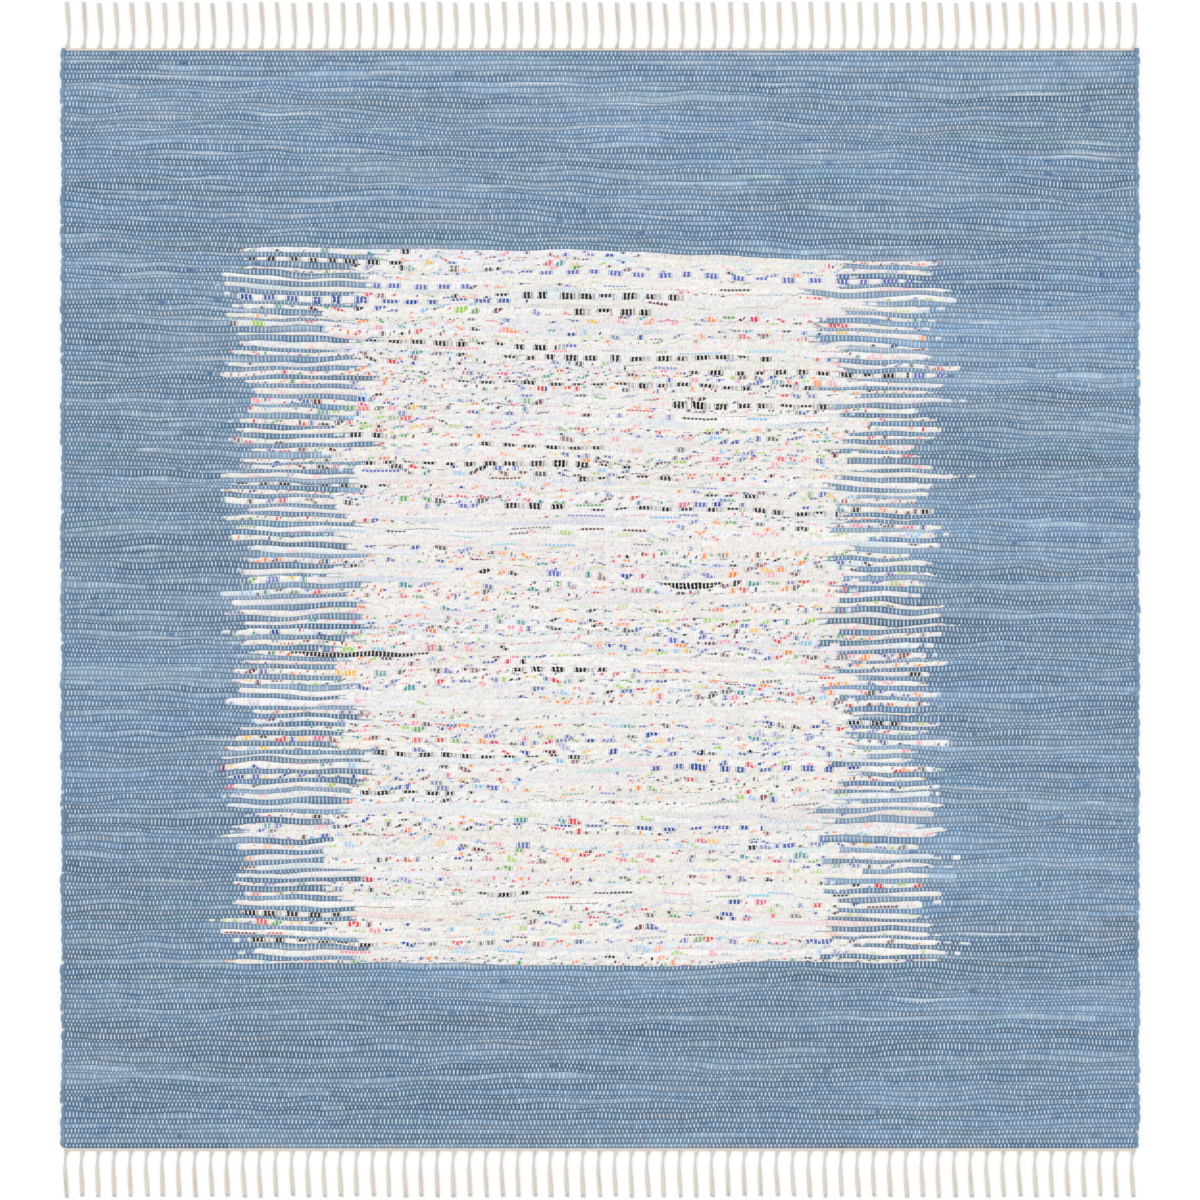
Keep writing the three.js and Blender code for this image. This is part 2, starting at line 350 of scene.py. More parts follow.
def blue_chart():
    total = PICKS * COLUMNS
    lengths = chance.gamma(STRIP_EVENNESS, STRIP_ENDS / STRIP_EVENNESS, 2 * total // STRIP_ENDS)
    strip = np.searchsorted(np.cumsum(lengths), np.arange(total))
    shares = [cloth["share"] for cloth in BLUE_CLOTHS]
    cloth = chance.choice(len(BLUE_CLOTHS), strip.max() + 1, p=shares)
    colours = np.array([cloth["colour"] for cloth in BLUE_CLOTHS])[cloth]
    colours *= np.exp(CLOTH_SPREAD * chance.standard_normal((len(colours), 1)))
    rows = folded(strip)
    drift = sum(step["depth"] * weft_noise(step["span"]) for step in SHADE_DRIFTS)
    drift += sum(batch["depth"] * batch_noise(batch["ends"], batch["picks"]) for batch in BATCHES)
    # the blue is made paler towards the right and the far end
    drift += PALER_TOWARDS["right"] * sideways
    drift += PALER_TOWARDS["far"] * (2 * pick_numbers[:, None] / PICKS - 1)
    made = np.ones((PICKS, PLACES, COLUMNS, 4))
    for place in range(PLACES):
        shade = np.exp(drift + EDGE_DRIFT["depth"] * weft_noise(EDGE_DRIFT["span"]))
        made[:, place, :, :3] = colours[rows] * shade[..., None]
    return made


chart = blue_chart()
print("chart", chart.shape, "mean blue", np.round(chart[..., :3].mean((0, 1, 2)), 3))

# %% [markdown]
# ## Folds, faded stretches and knots
# Here and there a strip's raw edge shows as a thin pale line, a stretch has faded or turned its back, and
# two strips are joined in a small dark knot that hides the warp.

# %% Scatter them over the border
FAR_LEAN = 0.55  # below 1, more of the pale marks lie towards the far end
MARKS = [
    dict(name="pale edge", count=1000, colour=linear(190, 205, 220),
         ends=(8, 44), places=1, strength=0.5, warp=1, lean=FAR_LEAN),
    dict(name="bright edge", count=170, colour=linear(216, 224, 232),
         ends=(10, 60), places=1, strength=0.7, warp=1, lean=FAR_LEAN),
    dict(name="faded stretch", count=300, colour=linear(170, 189, 209),
         ends=(15, 110), places=4, strength=0.4, warp=0.85, lean=FAR_LEAN),
    dict(name="deep stretch", count=200, colour=linear(82, 115, 150),
         ends=(12, 90), places=4, strength=0.35, warp=1, lean=1),
    dict(name="dark edge", count=900, colour=linear(68, 99, 136),
         ends=(6, 34), places=1, strength=0.55, warp=1, lean=1),
    dict(name="knot", count=260, colour=linear(72, 114, 160),
         ends=(2, 5), places=2, strength=0.7, warp=0, lean=1),
]
STRENGTH_SPREAD = (0.4, 1.1)
TAPER = 0.7  # below 1, a mark keeps most of its strength up to its ends


def paint(pick, places, first, last, colour, strength, warp=None):
    spot = chart[pick, places, first:last]
    spot[..., :3] += np.expand_dims(strength, -1) * (colour - spot[..., :3])
    if warp is not None:
        spot[..., 3] = warp


def tapered(count):
    return np.sin(np.pi * (np.arange(count) + 0.5) / count) ** TAPER


def lay_mark(mark):
    pick = int(PICKS * chance.random() ** mark["lean"])
    length = chance.integers(*mark["ends"])
    first = chance.integers(COLUMNS - length)
    if mark["places"] == 1:
        place = chance.integers(1, PLACES - 1)
    else:
        place = chance.integers(PLACES + 1 - mark["places"])
    rows = slice(place, place + mark["places"])
    strength = mark["strength"] * chance.uniform(*STRENGTH_SPREAD) * tapered(length)
    paint(pick, rows, first, first + length, mark["colour"], strength, mark["warp"])


for mark in MARKS:
    for _ in range(mark["count"]):
        lay_mark(mark)
print("marks", {mark["name"]: mark["count"] for mark in MARKS})

# %% [markdown]
# ## The centre panel
# The panel is woven from light cotton prints. Long light picks take turns with short ones that stop well
# inside them, and the blue fills the gap, so the panel's left and right sides look like two combs. Each
# strip ends in a point. The prints are cut so narrow that only small dashes of them show.

# %% The strips of the panel: where each one starts and ends
PANEL_FROM = 313 * MM  # along the warp, from the near end of the field
PANEL_TO = 1527 * MM
PANEL_ENDS = dict(
    long=dict(left=(-617 * MM, 16 * MM), right=(565 * MM, 24 * MM)),
    short=dict(left=(-432 * MM, 26 * MM), right=(404 * MM, 27 * MM)),
)
ODD_SHARE = 0.02  # picks that break the turn-taking
REACH_LIMIT = 1.8  # no strip ends further from the usual place than this many spreads

mean_pick = FIELD_LENGTH / PICKS
panel_picks = range(round(PANEL_FROM / mean_pick), round(PANEL_TO / mean_pick))


def panel_reach(pick):
    kind = "long" if (pick - panel_picks.start) % 2 == 0 or chance.random() < ODD_SHARE else "short"
    sides = PANEL_ENDS[kind]
    spread = np.clip(chance.standard_normal(2), -REACH_LIMIT, REACH_LIMIT)
    return [sides[side][0] + sides[side][1] * step for side, step in zip(("left", "right"), spread)]


# %% The cloths of the panel and the inks of their prints
LIGHT_CLOTHS = [
    dict(name="white", colour=linear(242, 240, 238), share=0.46),
    dict(name="cream", colour=linear(242, 238, 231), share=0.25),
    dict(name="blush", colour=linear(242, 235, 234), share=0.14),
    dict(name="lilac", colour=linear(236, 235, 240), share=0.1),
    dict(name="ice", colour=linear(230, 236, 241), share=0.05),
]
INKS = dict(
    black=linear(28, 28, 32), ash=linear(192, 190, 188), royal=linear(34, 82, 160),
    iris=linear(88, 108, 188), sky=linear(130, 190, 228), aqua=linear(112, 206, 222),
    teal=linear(58, 150, 158), lime=linear(160, 204, 80), leaf=linear(92, 164, 84),
    gold=linear(240, 190, 62), orange=linear(244, 138, 52), red=linear(214, 50, 62),
    rose=linear(240, 150, 168), magenta=linear(214, 62, 122), wine=linear(112, 34, 54),
    mauve=linear(196, 190, 226),
)
BRIGHTS = (
    ["royal"] * 4 + ["iris", "black"] * 3 + ["red", "wine", "teal"] * 2
    + ["rose", "magenta", "sky", "leaf", "lime", "orange", "gold"]
)
# Gaps and sizes are in millimetres, and height is how much of a strip's width a dash takes up
PRINTS = [
    dict(name="plain", share=0.15, height="low", gap=(20, 80), size=(3, 24), strength=(0.2, 0.5),
         inks=["ash", "rose", "mauve"]),
    dict(name="pastel", share=0.16, height="low", gap=(5, 22), size=(5, 26), strength=(0.35, 0.85),
         inks=["rose", "mauve", "lime", "sky", "ash", "orange", "iris"]),
    dict(name="confetti", share=0.32, height="half", gap=(3, 15), size=(4, 19), strength=(0.7, 1),
         inks=BRIGHTS),
    dict(name="speckle", share=0.19, height="low", gap=(2, 8), size=(2, 11), strength=(0.6, 1),
         inks=["black", "wine", "red", "ash", "royal", "leaf", "orange"]),
    dict(name="hairline", share=0.055, height="line", gap=(15, 70), size=(16, 70), strength=(0.6, 1),
         inks=["rose", "red", "sky", "wine", "aqua", "ash", "iris", "leaf", "black"]),
    dict(name="black block", share=0.036, height="full", gap=(15, 24), size=(12, 20), strength=(0.95, 1),
         inks=["black"]),
    dict(name="blue block", share=0.03, height="full", gap=(14, 27), size=(12, 24), strength=(0.9, 1),
         inks=["royal", "royal", "iris"]),
    dict(name="dark hem", share=0.004, height="hem", gap=(10, 400), size=(160, 270), strength=(0.95, 1),
         inks=["black"]),
    dict(name="wash", share=0.055, height="wash", gap=(20, 120), size=(60, 260), strength=(0.2, 0.45),
         inks=["aqua", "sky", "mauve", "rose", "sky", "ash"]),
]
print(len(PRINTS), "prints,", len(INKS), "inks,", len(panel_picks), "panel picks")


# %% [markdown]
# ## Ink
# A print shows as dashes a few pillows long, over part of a strip's width. Ink could be painted straight into
# the chart, but it is kept in a second one with its own fourth number, so that the shader can give each dash
# a ragged edge on every pillow.

# %% One dash of ink
INK_PLACES = dict(
    full=[(0, 4), (0, 4), (0, 4), (1, 4), (0, 3), (1, 3), (2, 4)],
    half=[(0, 2), (2, 4), (1, 3), (1, 2), (2, 3), (0, 3), (1, 4)],
    low=[(0, 2), (2, 4), (1, 2), (2, 3), (1, 2), (2, 3), (1, 3)],
    line=[(0, 1), (3, 4), (1, 2), (2, 3)],
)
HEM_PLACES = [(2, 3), (1, 3), (0, 3), (0, 4)]  # a dark hem swells from a line to the strip's whole width
HEM_SWELL = 2.6
PILLOW_COLUMNS = 3  # a pillow reaches from one warp end to the next but one
ink_layer = np.zeros_like(chart)


def dash(pick, x, size, ink, design):
    """One dash of ink over some pillows. From one pillow to the next it may step up or down."""
    strength = chance.uniform(*design["strength"])
    wet = INKS[ink] * strength + LIGHT_CLOTHS[0]["colour"] * (1 - strength)
    first = column_of(x) // 2 * 2 + pick % 2
    count = max(1, round(size / (2 * END_PITCH)))
    is_speck = size <= 2 * END_PITCH
    height = "line" if is_speck and design["height"] == "half" else design["height"]
    low, high = (0, PLACES) if height == "hem" else chance.choice(INK_PLACES[height])
    for pillow in range(count):
        begin = first + 2 * pillow
        if begin + PILLOW_COLUMNS > COLUMNS:
            break
        if height == "hem":
            swell = min(pillow, count - 1 - pillow) / count * HEM_SWELL * len(HEM_PLACES)
            low, high = HEM_PLACES[min(int(swell), len(HEM_PLACES) - 1)]
        elif height in ("half", "low"):
            low, high = np.clip(np.array([low, high]) + chance.integers(-1, 2), [0, 1], [PLACES - 1, PLACES])
        inked = slice(begin + 1, begin + 2) if is_speck else slice(begin, begin + PILLOW_COLUMNS)
        ink_layer[pick, low:high, inked] = (*wet, 1)
    return first + 2 * count + 1


# %% A print along one strip
THINNESS = (0.5, 2.2)  # the gaps of a print are stretched by this, strip by strip
SHADOW = dict(share=0.6, ends=(1, 5))  # a black block often has a grey shadow after it


def print_strip(pick, start, stop, design):
    """Dashes of the design's inks along one strip, or a faint wash of one ink over it."""
    ink = chance.choice(design["inks"])
    thinness = chance.uniform(*THINNESS) if design["height"] in ("half", "low") else 1
    x = start + chance.uniform(0, design["gap"][0]) * MM
    while x < stop:
        size = min(chance.uniform(*design["size"]) * MM, stop - x)
        if design["height"] == "wash":
            first, last = column_of(x), column_of(x + size)
            faint = chance.uniform(*design["strength"]) * tapered(last - first)
            paint(pick, slice(chance.integers(2), chance.integers(3, 5)), first, last, INKS[ink], faint)
            x += size + chance.uniform(*design["gap"]) * MM
            continue
        if design["height"] != "full":
            ink = chance.choice(design["inks"])
        after = dash(pick, x, size, ink, design)
        if design["name"] == "black block" and chance.random() < SHADOW["share"]:
            ink_layer[pick, :, after : after + chance.integers(*SHADOW["ends"])] = (*INKS["ash"], 1)
        x += size + thinness * chance.uniform(*design["gap"]) * MM


# %% [markdown]
# ## Light strips
# A light pick is a few strips laid end to end. Each is a cloth with a print, and the outermost ones taper
# to a point or are folded back bluntly. Soft cotton sheds lint, so its white is a little uneven.

# %% Parts of laying a strip
# How far short of the strip's tip each of its four places across the width stops
POINT = [(6 * MM, 30 * MM), (0, 4 * MM), (0, 16 * MM), (8 * MM, 34 * MM)]
BLUNT = dict(share=0.4, point=0.15)  # some strips are folded back, with this share of the point left
PANEL_STRIP = dict(length=330 * MM, evenness=1.8)  # mean length of a light strip
PANEL_WARP = 0.4  # the warp shows less clearly on light cloth
LIGHT_DRIFTS = [dict(span=20, depth=0.015), dict(span=4, depth=0.015)]
LIGHT_SPREAD = dict(strip=0.02, place=0.012)
LINT = dict(depth=0.3, power=5)


def pointed_ends():
    """How far short of its two tips each place across a strip stops."""
    points = np.array([chance.uniform(*reach, 2) for reach in POINT])
    points *= np.where(chance.random(2) < BLUNT["share"], BLUNT["point"], 1)
    return points[::-1] if chance.random() < 0.5 else points


def strip_edges(left, right):
    """Where the strips of one pick meet, from tip to tip."""
    evenness = PANEL_STRIP["evenness"]
    edges = [left]
    while edges[-1] < right:
        edges.append(edges[-1] + chance.gamma(evenness, PANEL_STRIP["length"] / evenness))
    edges[-1] = right
    return edges


def drawn(choices):
    """One cloth or print out of a list, as often as its share says."""
    return choices[chance.choice(len(choices), p=[choice["share"] for choice in choices])]


def lay_strip(pick, starts, stops):
    """Paints one light strip, with a start and a stop for each place, and returns the print it has."""
    cloth = drawn(LIGHT_CLOTHS)
    design = drawn(PRINTS)
    shade = np.exp(LIGHT_SPREAD["strip"] * chance.standard_normal())
    for place in range(PLACES):
        first = column_of(starts[place])
        last = max(first, column_of(stops[place]) + 1)
        paint(pick, place, first, last, cloth["colour"] * shade, 1, warp=PANEL_WARP)
        drift = np.exp(light_drift[pick, first:last] + LIGHT_SPREAD["place"] * chance.standard_normal())
        lint = 1 - LINT["depth"] * chance.random(last - first) ** LINT["power"]
        chart[pick, place, first:last, :3] *= (drift * lint)[:, None]
    return design


# %% Lay and print the panel
light_drift = sum(drift["depth"] * weft_noise(drift["span"]) for drift in LIGHT_DRIFTS)
reaches = [panel_reach(pick) for pick in panel_picks]
for pick, (left, right) in zip(panel_picks, reaches):
    points = pointed_ends()
    edges = strip_edges(left, right)
    for start, stop in zip(edges, edges[1:]):
        starts = start + points[:, 0] * (start == left)
        stops = stop - points[:, 1] * (stop == right)
        design = lay_strip(pick, starts, stops)
        print_strip(pick, start, stop, design)
print("share of ink", round(float(ink_layer[..., 3].mean()), 3))

# %% [markdown]
# ## Loose ends
# Past its tip a strip's loose end may come up once more, as a white speck in the blue. Around the ink, the
# points without ink get its colour but not its strength, so that an edge fades out in that colour.

# %% Add the loose ends and run the ink's colour out
LIGHT_ABOVE = 0.45  # the red of a light strip is more than this, and that of a blue one less
TUFT = dict(share=0.3, gap=(4 * MM, 24 * MM), ends=(2, 6), places=(1, 3), strength=0.9)


def spread_ink(layer):
    for axis in (2, 1):
        for shift in (1, -1):
            beside = np.roll(layer, shift, axis)
            bare = (layer[..., 3] == 0) & (layer[..., :3].sum(-1) == 0)
            layer[bare, :3] = beside[bare, :3]


for pick, (left, right) in zip(panel_picks, reaches):
    for tip, outward in ((left, -1), (right, 1)):
        if chance.random() < TUFT["share"]:
            first = column_of(tip + outward * chance.uniform(*TUFT["gap"]))
            place = chance.integers(PLACES - 1)
            places = slice(place, place + chance.integers(*TUFT["places"]))
            last = first + chance.integers(*TUFT["ends"])
            paint(pick, places, first, last, LIGHT_CLOTHS[0]["colour"], TUFT["strength"], PANEL_WARP)
spread_ink(ink_layer)
print("share of light strip", round(float((chart[..., 0] > LIGHT_ABOVE).mean()), 3))

# %% [markdown]
# ## Turns and swelling
# At a selvedge the cloth of a strip is stretched smooth, a little paler, and hides the warp. Beside some
# turns the outermost warp end is bare. In the panel two soft light strips swell into the groove between them.

# %% Colour the turns, and fill the light grooves
WRAP_BLUE = linear(128, 158, 188)
WRAP_GONE = 1.3  # a turn's own shade is gone at this many times the ends it hides
WRAP_SHARE = 0.5
BARE_WARP = linear(226, 222, 214)
BARE_SHARE = 0.25  # turns beside which the outermost warp shows
BARE_COLUMNS = 3
LIGHT_FILL = 1.2 * MM

chart[..., 3] *= from_edge > SELVEDGE_ENDS
wrap = np.clip(WRAP_GONE - from_edge / SELVEDGE_ENDS, 0, 1)[:, None]
chart[..., :3] += WRAP_SHARE * np.minimum(2 * wrap, 1) * (WRAP_BLUE - chart[..., :3])
left_side, right_side = slice(0, BARE_COLUMNS), slice(-BARE_COLUMNS, None)
for side, first in ((left_side, 0), (right_side, 1)):
    for pick in range(first, PICKS, 2):
        if chance.random() < BARE_SHARE:
            chart[pick, : chance.integers(1, 3), side, :3] = BARE_WARP
chart[PICKS - 2, 0, left_side, :3] = BARE_WARP
chart[PICKS - 1, 0, right_side, :3] = BARE_WARP
light = chart[..., 0] > LIGHT_ABOVE
surface_z[ROWS:-1:ROWS] += LIGHT_FILL * (light[1:, 0] & light[:-1, -1])
print("share of light grooves", round(float((light[1:, 0] & light[:-1, -1]).mean()), 3))

# %% [markdown]
# ## Bands of cloth
# One mesh of the whole weave would be very heavy, so the cloth is cut along grooves into bands of picks, and
# each band is a closed mesh: the relief on top, a plain coarse underside that carries the same colours,
# and walls between them. The grooves are sharp edges, as between real strips, so the cuts can't be seen.
# A UV map stacks each band in three blocks, so a picture of it keeps the threads sharp.

# %% Tools that stitch a band together
UNDER_STEP = 16  # warp ends for each column of the underside
under_columns = np.unique([*np.searchsorted(end_places, np.arange(0, ENDS, UNDER_STEP)), COLUMNS - 1])


def grid_faces(rows, columns):
    corner = (np.arange(rows - 1)[:, None] * columns + np.arange(columns - 1)).ravel()
    return np.stack([corner, corner + 1, corner + columns + 1, corner + columns], axis=1)


def zipped(one, other, one_places, other_places):
    """Triangles between two chains of points, taking the nearer next point each time."""
    faces, a, b = [], 0, 0
    while a + 1 < len(one) or b + 1 < len(other):
        take_one = b + 1 == len(other) or (a + 1 < len(one) and one_places[a + 1] <= other_places[b + 1])
        if take_one:
            faces.append((one[a], one[a + 1], other[b]))
            a += 1
        else:
            faces.append((one[a], other[b + 1], other[b]))
            b += 1
    return np.array(faces)


def new_piece(name, points, faces, material):
    mesh = bpy.data.meshes.new(name)
    mesh.from_pydata(points, [], faces, shade_flat=False)
    mesh.materials.append(material)
    piece = bpy.data.objects.new(name, mesh)
    bpy.context.scene.collection.objects.link(piece)
    return piece


def attribute(mesh, name, kind, domain, values):
    made = mesh.attributes.new(name, kind, domain)
    field = "color" if "COLOR" in kind else "value" if kind == "BOOLEAN" else "vector"
    made.data.foreach_set(field, np.ascontiguousarray(values).ravel())


# %% [markdown]
# ## Shader maths in Python
# A material is a graph of nodes, and long formulas are hard to read as a graph. A small class wraps a
# socket, so that an expression such as `1 - mask * 2` adds the Math nodes by itself.


# %% A socket that can be calculated with
class Wire:
    tree = None

    def __init__(self, socket):
        self.socket = socket

    @classmethod
    def node(cls, kind, settings=None, sockets=None, output=0):
        """Any node: its settings are set first, then its sockets get values or links."""
        node = cls.tree.nodes.new(kind)
        for name, value in (settings or {}).items():
            setattr(node, name, value)
        for name, value in (sockets or {}).items():
            if isinstance(value, Wire):
                cls.tree.links.new(value.socket, node.inputs[name])
            else:
                node.inputs[name].default_value = value
        return cls(node.outputs[output])

    @classmethod
    def maths(cls, operation, *values):
        return cls.node("ShaderNodeMath", {"operation": operation}, dict(enumerate(values)))

    def __add__(self, other):
        return Wire.maths("ADD", self, other)

    def __radd__(self, other):
        return Wire.maths("ADD", other, self)

    def __sub__(self, other):
        return Wire.maths("SUBTRACT", self, other)

    def __rsub__(self, other):
        return Wire.maths("SUBTRACT", other, self)

    def __mul__(self, other):
        return Wire.maths("MULTIPLY", self, other)

    def __rmul__(self, other):
        return Wire.maths("MULTIPLY", other, self)

    def __truediv__(self, other):
        return Wire.maths("DIVIDE", self, other)

    def __rtruediv__(self, other):
        return Wire.maths("DIVIDE", other, self)

    def __mod__(self, other):
        return Wire.maths("FLOORED_MODULO", self, other)

    def __rmod__(self, other):
        return Wire.maths("FLOORED_MODULO", other, self)

    def __abs__(self):
        return Wire.maths("ABSOLUTE", self)


# %% [markdown]
# ## Short names for common nodes
# The rest of the shader maths is a handful of functions: a smooth step for masks, a colour mix, and readers
# for the numbers that a mesh carries. With these a material reads like a recipe.


# %% Steps, mixes and attributes
def floor(wire):
    return Wire.maths("FLOOR", wire)


def step(wire, low, high):
    """0 where wire is at low, 1 at high, and smooth between."""
    sockets = {"Value": wire, "From Min": low, "From Max": high}
    return Wire.node("ShaderNodeMapRange", {"interpolation_type": "SMOOTHSTEP"}, sockets)


def blend(share, first, second, way="MIX"):
    """Mixes two colours. The Mix node's colour sockets are its inputs 6 and 7 and its output 2."""
    colours = {0: share, 6: first, 7: second}
    return Wire.node("ShaderNodeMix", {"data_type": "RGBA", "blend_type": way}, colours, 2)


def colour(value):
    return (*value, 1)


def read_attribute(name):
    node = Wire.tree.nodes.new("ShaderNodeAttribute")
    node.attribute_name = name
    return {output.name: Wire(output) for output in node.outputs}


def axes(vector):
    node = Wire.node("ShaderNodeSeparateXYZ", None, {"Vector": vector}).socket.node
    return [Wire(output) for output in node.outputs]


def new_material(name):
    material = bpy.data.materials.new(name)
    material.use_nodes = True
    Wire.tree = material.node_tree
    return material, Wire.tree.nodes["Principled BSDF"]


def plug(wire, shader, socket):
    Wire.tree.links.new(wire.socket, shader.inputs[socket])


# %% [markdown]
# ## The rag weave
# The mesh carries the weave's own coordinates: how many warp ends across, and how many picks along. From
# those the shader finds the nearest warp end and asks whether it lies on top of this pick. There it draws a
# short pale thread. Fibres, painted shade in the grooves and round each thread, and the thread's roundness
# come from the same coordinates.

# %% Where a point lies, and chance over the weave
def weave_place():
    """The weave's coordinates at a point, its row, and its place across the row and beside a warp end."""
    end, pick, cover = axes(read_attribute("weave")["Vector"])
    row = floor(pick)
    return end, pick, cover, row, pick - row - 0.5, (end + row) % 2 - 1


def noise(x, y, grain):
    """Flat noise, with a number of changes for each warp end and each pick."""
    vector = Wire.node("ShaderNodeCombineXYZ", None, {0: x * grain["ends"], 1: y * grain["picks"]})
    sockets = {"Vector": vector, "Scale": 1.0, "Detail": grain["detail"]}
    return Wire.node("ShaderNodeTexNoise", {"noise_dimensions": "2D"}, sockets)


def thread_luck(end, row):
    """A number from 0 to 1 for each warp thread on top."""
    cell = Wire.node("ShaderNodeCombineXYZ", None, {0: floor((end + row) / 2), 1: row})
    return Wire.node("ShaderNodeTexWhiteNoise", {"noise_dimensions": "2D"}, {"Vector": cell})


# %% Masks of the warp thread and of the ink
# Each pair of numbers below is where a mask is 0 and where it is 1
THREAD = dict(half_width=0.2, fuller=0.23, half_length=0.41, longer=0.12)  # in warp ends and in picks
THREAD_SHOWN = (0.05, 0.3)
THREAD_EDGE = (1.2, 0.55)
# the painted shade round a thread, where it presses into the strip, fades out between these
THREAD_SHADE_RIM = (2.2, 1.2)
INK_LOBE = dict(middle=0.21, height=0.36, ragged=2.6, edge=(1.05, 0.75))  # two lobes on each pillow
INK_SOAK = dict(bleed=0.5, edge=(0.6, 0.75))


def thread_masks(shows, across, beside, luck):
    """The warp thread on top, and a rim of painted shade round it, where the thread presses into the strip.
    """
    wide = beside / (THREAD["half_width"] + THREAD["fuller"] * shows)
    tall = across / (THREAD["half_length"] + THREAD["longer"] * luck)
    rim = wide * wide + tall * tall
    shown = step(shows, *THREAD_SHOWN)
    return shown * step(rim, *THREAD_EDGE), shown * step(rim, *THREAD_SHADE_RIM)


def ink_mask(strength, across, beside, fuzz, mottle):
    """Where ink has soaked into a pillow, ragged at its edge."""
    pillow = 1 - abs(beside)
    lobe = (abs(across) - INK_LOBE["middle"]) / INK_LOBE["height"]
    ragged = pillow * pillow + lobe * lobe + INK_LOBE["ragged"] * (mottle - 0.5)
    return step(strength + INK_SOAK["bleed"] * fuzz, *INK_SOAK["edge"]) * step(ragged, *INK_LOBE["edge"])


# %% Colours of the rag and of the warp on it
# Painted shade: the colours that a rag is darkened towards in its grooves, round each thread and along the
# seam
BLUE_SHADE = linear(50, 82, 114)
LIGHT_SHADE = linear(186, 184, 186)
SHADE = dict(groove=0.4, outline=0.37, seam=0.35, spared=0.7)  # light strips are spared most of the shade
MOTES = 0.2  # share of coloured motes in light cotton
FIBRES = dict(share=0.25, shades=[(0.55, 0.55, 0.55), (1.4, 1.4, 1.4)])
WARP_ON_BLUE = [linear(177, 197, 216), linear(209, 221, 233)]
WARP_ON_LIGHT = [linear(236, 234, 232), linear(246, 244, 241)]
WARP_CREAM = linear(204, 200, 199)
CREAM_RUN = dict(share=0.5, edge=(0.55, 0.75))


def rag_colour(strip, motes, is_light, groove, outline, seam):
    dark = blend(is_light, colour(BLUE_SHADE), colour(LIGHT_SHADE))
    shade = Wire.maths("MAXIMUM", groove * SHADE["groove"], outline * SHADE["outline"])
    shade = Wire.maths("MAXIMUM", shade, seam * SHADE["seam"])
    rag = blend(shade * (1 - SHADE["spared"] * is_light), strip, dark)
    return blend(MOTES * is_light, rag, motes, "LINEAR_LIGHT")


def warp_colour(is_light, luck, run):
    on_blue = blend(luck, *map(colour, WARP_ON_BLUE))
    on_blue = blend(CREAM_RUN["share"] * step(run, *CREAM_RUN["edge"]), on_blue, colour(WARP_CREAM))
    return blend(is_light, on_blue, blend(luck, *map(colour, WARP_ON_LIGHT)))


# %% The material of the cloth
RUN_GRAIN = dict(ends=0.03, picks=0.8, detail=1.0)  # slow changes along a strip
FIBRE_GRAIN = dict(ends=0.35, picks=7, detail=3.0)
MOTTLE_GRAIN = dict(ends=0.9, picks=2.4, detail=1.0)
THREAD_LEAN = 1.4
THREAD_COVER = dict(least=0.82, luck=0.16)
GROOVE_EDGE = (0.36, 0.5)
COVER_EDGE = (0.6, 0.1)
SEAM = dict(ends=2.3, edge=(0.6, 0.15))  # a shaded line where a turn meets the first threads
LIGHT_EDGE = (0.4, 0.7)
ROUGH = dict(least=0.82, fuzz=0.12, thread=0.05)
BUMP = dict(thread=0.6, fuzz=0.5, strength=0.5, depth=0.6 * MM)
MATT = 0.2  # the specular level of cotton


def rag_weave():
    material, shader = new_material("rag_weave")
    strip, ink = read_attribute("strip"), read_attribute("ink")
    end, pick, cover, row, across, beside = weave_place()
    luck = thread_luck(end, row)
    run = noise(end, row, RUN_GRAIN)
    fuzz = noise(end, pick, FIBRE_GRAIN)
    mottle = noise(end, pick, MOTTLE_GRAIN)
    motes = Wire(mottle.socket.node.outputs["Color"])
    beside = beside + across * (run - 0.5) * THREAD_LEAN

    # the thread on top, and the painted shade round it
    tick, outline = thread_masks(strip["Alpha"], across, beside, luck)
    # painted shade in the grooves between strips, except where a turn covers them
    groove = step(abs(across), *GROOVE_EDGE) * step(cover, *COVER_EDGE)
    inward = Wire.maths("MINIMUM", end, ENDS - end)
    seam = step(abs(inward - SEAM["ends"]), *SEAM["edge"])
    is_light = step(Wire.node("ShaderNodeRGBToBW", None, {"Color": strip["Color"]}), *LIGHT_EDGE)
    rag = rag_colour(strip["Color"], motes, is_light, groove, outline, seam)
    rag = blend(ink_mask(ink["Alpha"], across, beside, fuzz, mottle), rag, ink["Color"])
    rag = blend(FIBRES["share"], rag, blend(fuzz, *map(colour, FIBRES["shades"])), "MULTIPLY")
    covered = tick * (THREAD_COVER["least"] + THREAD_COVER["luck"] * luck)
    plug(blend(covered, rag, warp_colour(is_light, luck, run)), shader, "Base Color")

    plug(ROUGH["least"] + ROUGH["fuzz"] * fuzz - ROUGH["thread"] * tick, shader, "Roughness")
    height = tick * BUMP["thread"] + fuzz * BUMP["fuzz"]
    sockets = {"Height": height, "Strength": BUMP["strength"], "Distance": BUMP["depth"]}
    plug(Wire.node("ShaderNodeBump", None, sockets), shader, "Normal")
    shader.inputs["Specular IOR Level"].default_value = MATT
    return material


cloth_material = rag_weave()
print(cloth_material.name, len(cloth_material.node_tree.nodes), "nodes")

# %% [markdown]
# ## Weaving the bands
# Each band takes its rows of the surface grids. Corners, not points, carry the strip colours, because the
# two strips at a groove meet there without mixing.

# %% A band's map and its weave coordinates
UV_BLOCKS = 3
UV_EDGE = 0.004
UV_TOP = 0.9  # share of the map's height for the relief
UNDER_MAP = 0.06  # height of the underside's strip, above the relief
WALL_MAP = dict(above=0.07, pitch=0.0065, height=0.004)  # thin strips for the walls, above that


def relief_map(row, column, rows):
    per_block = (COLUMNS - 1) // UV_BLOCKS
    block = column[:, :1] // per_block
    side = UV_EDGE + (column - block * per_block) / per_block * (1 - 2 * UV_EDGE)
    up = UV_TOP / UV_BLOCKS * block + UV_EDGE + row / (rows - 1) * (UV_TOP / UV_BLOCKS - 2 * UV_EDGE)
    return np.stack([side, up], axis=2)


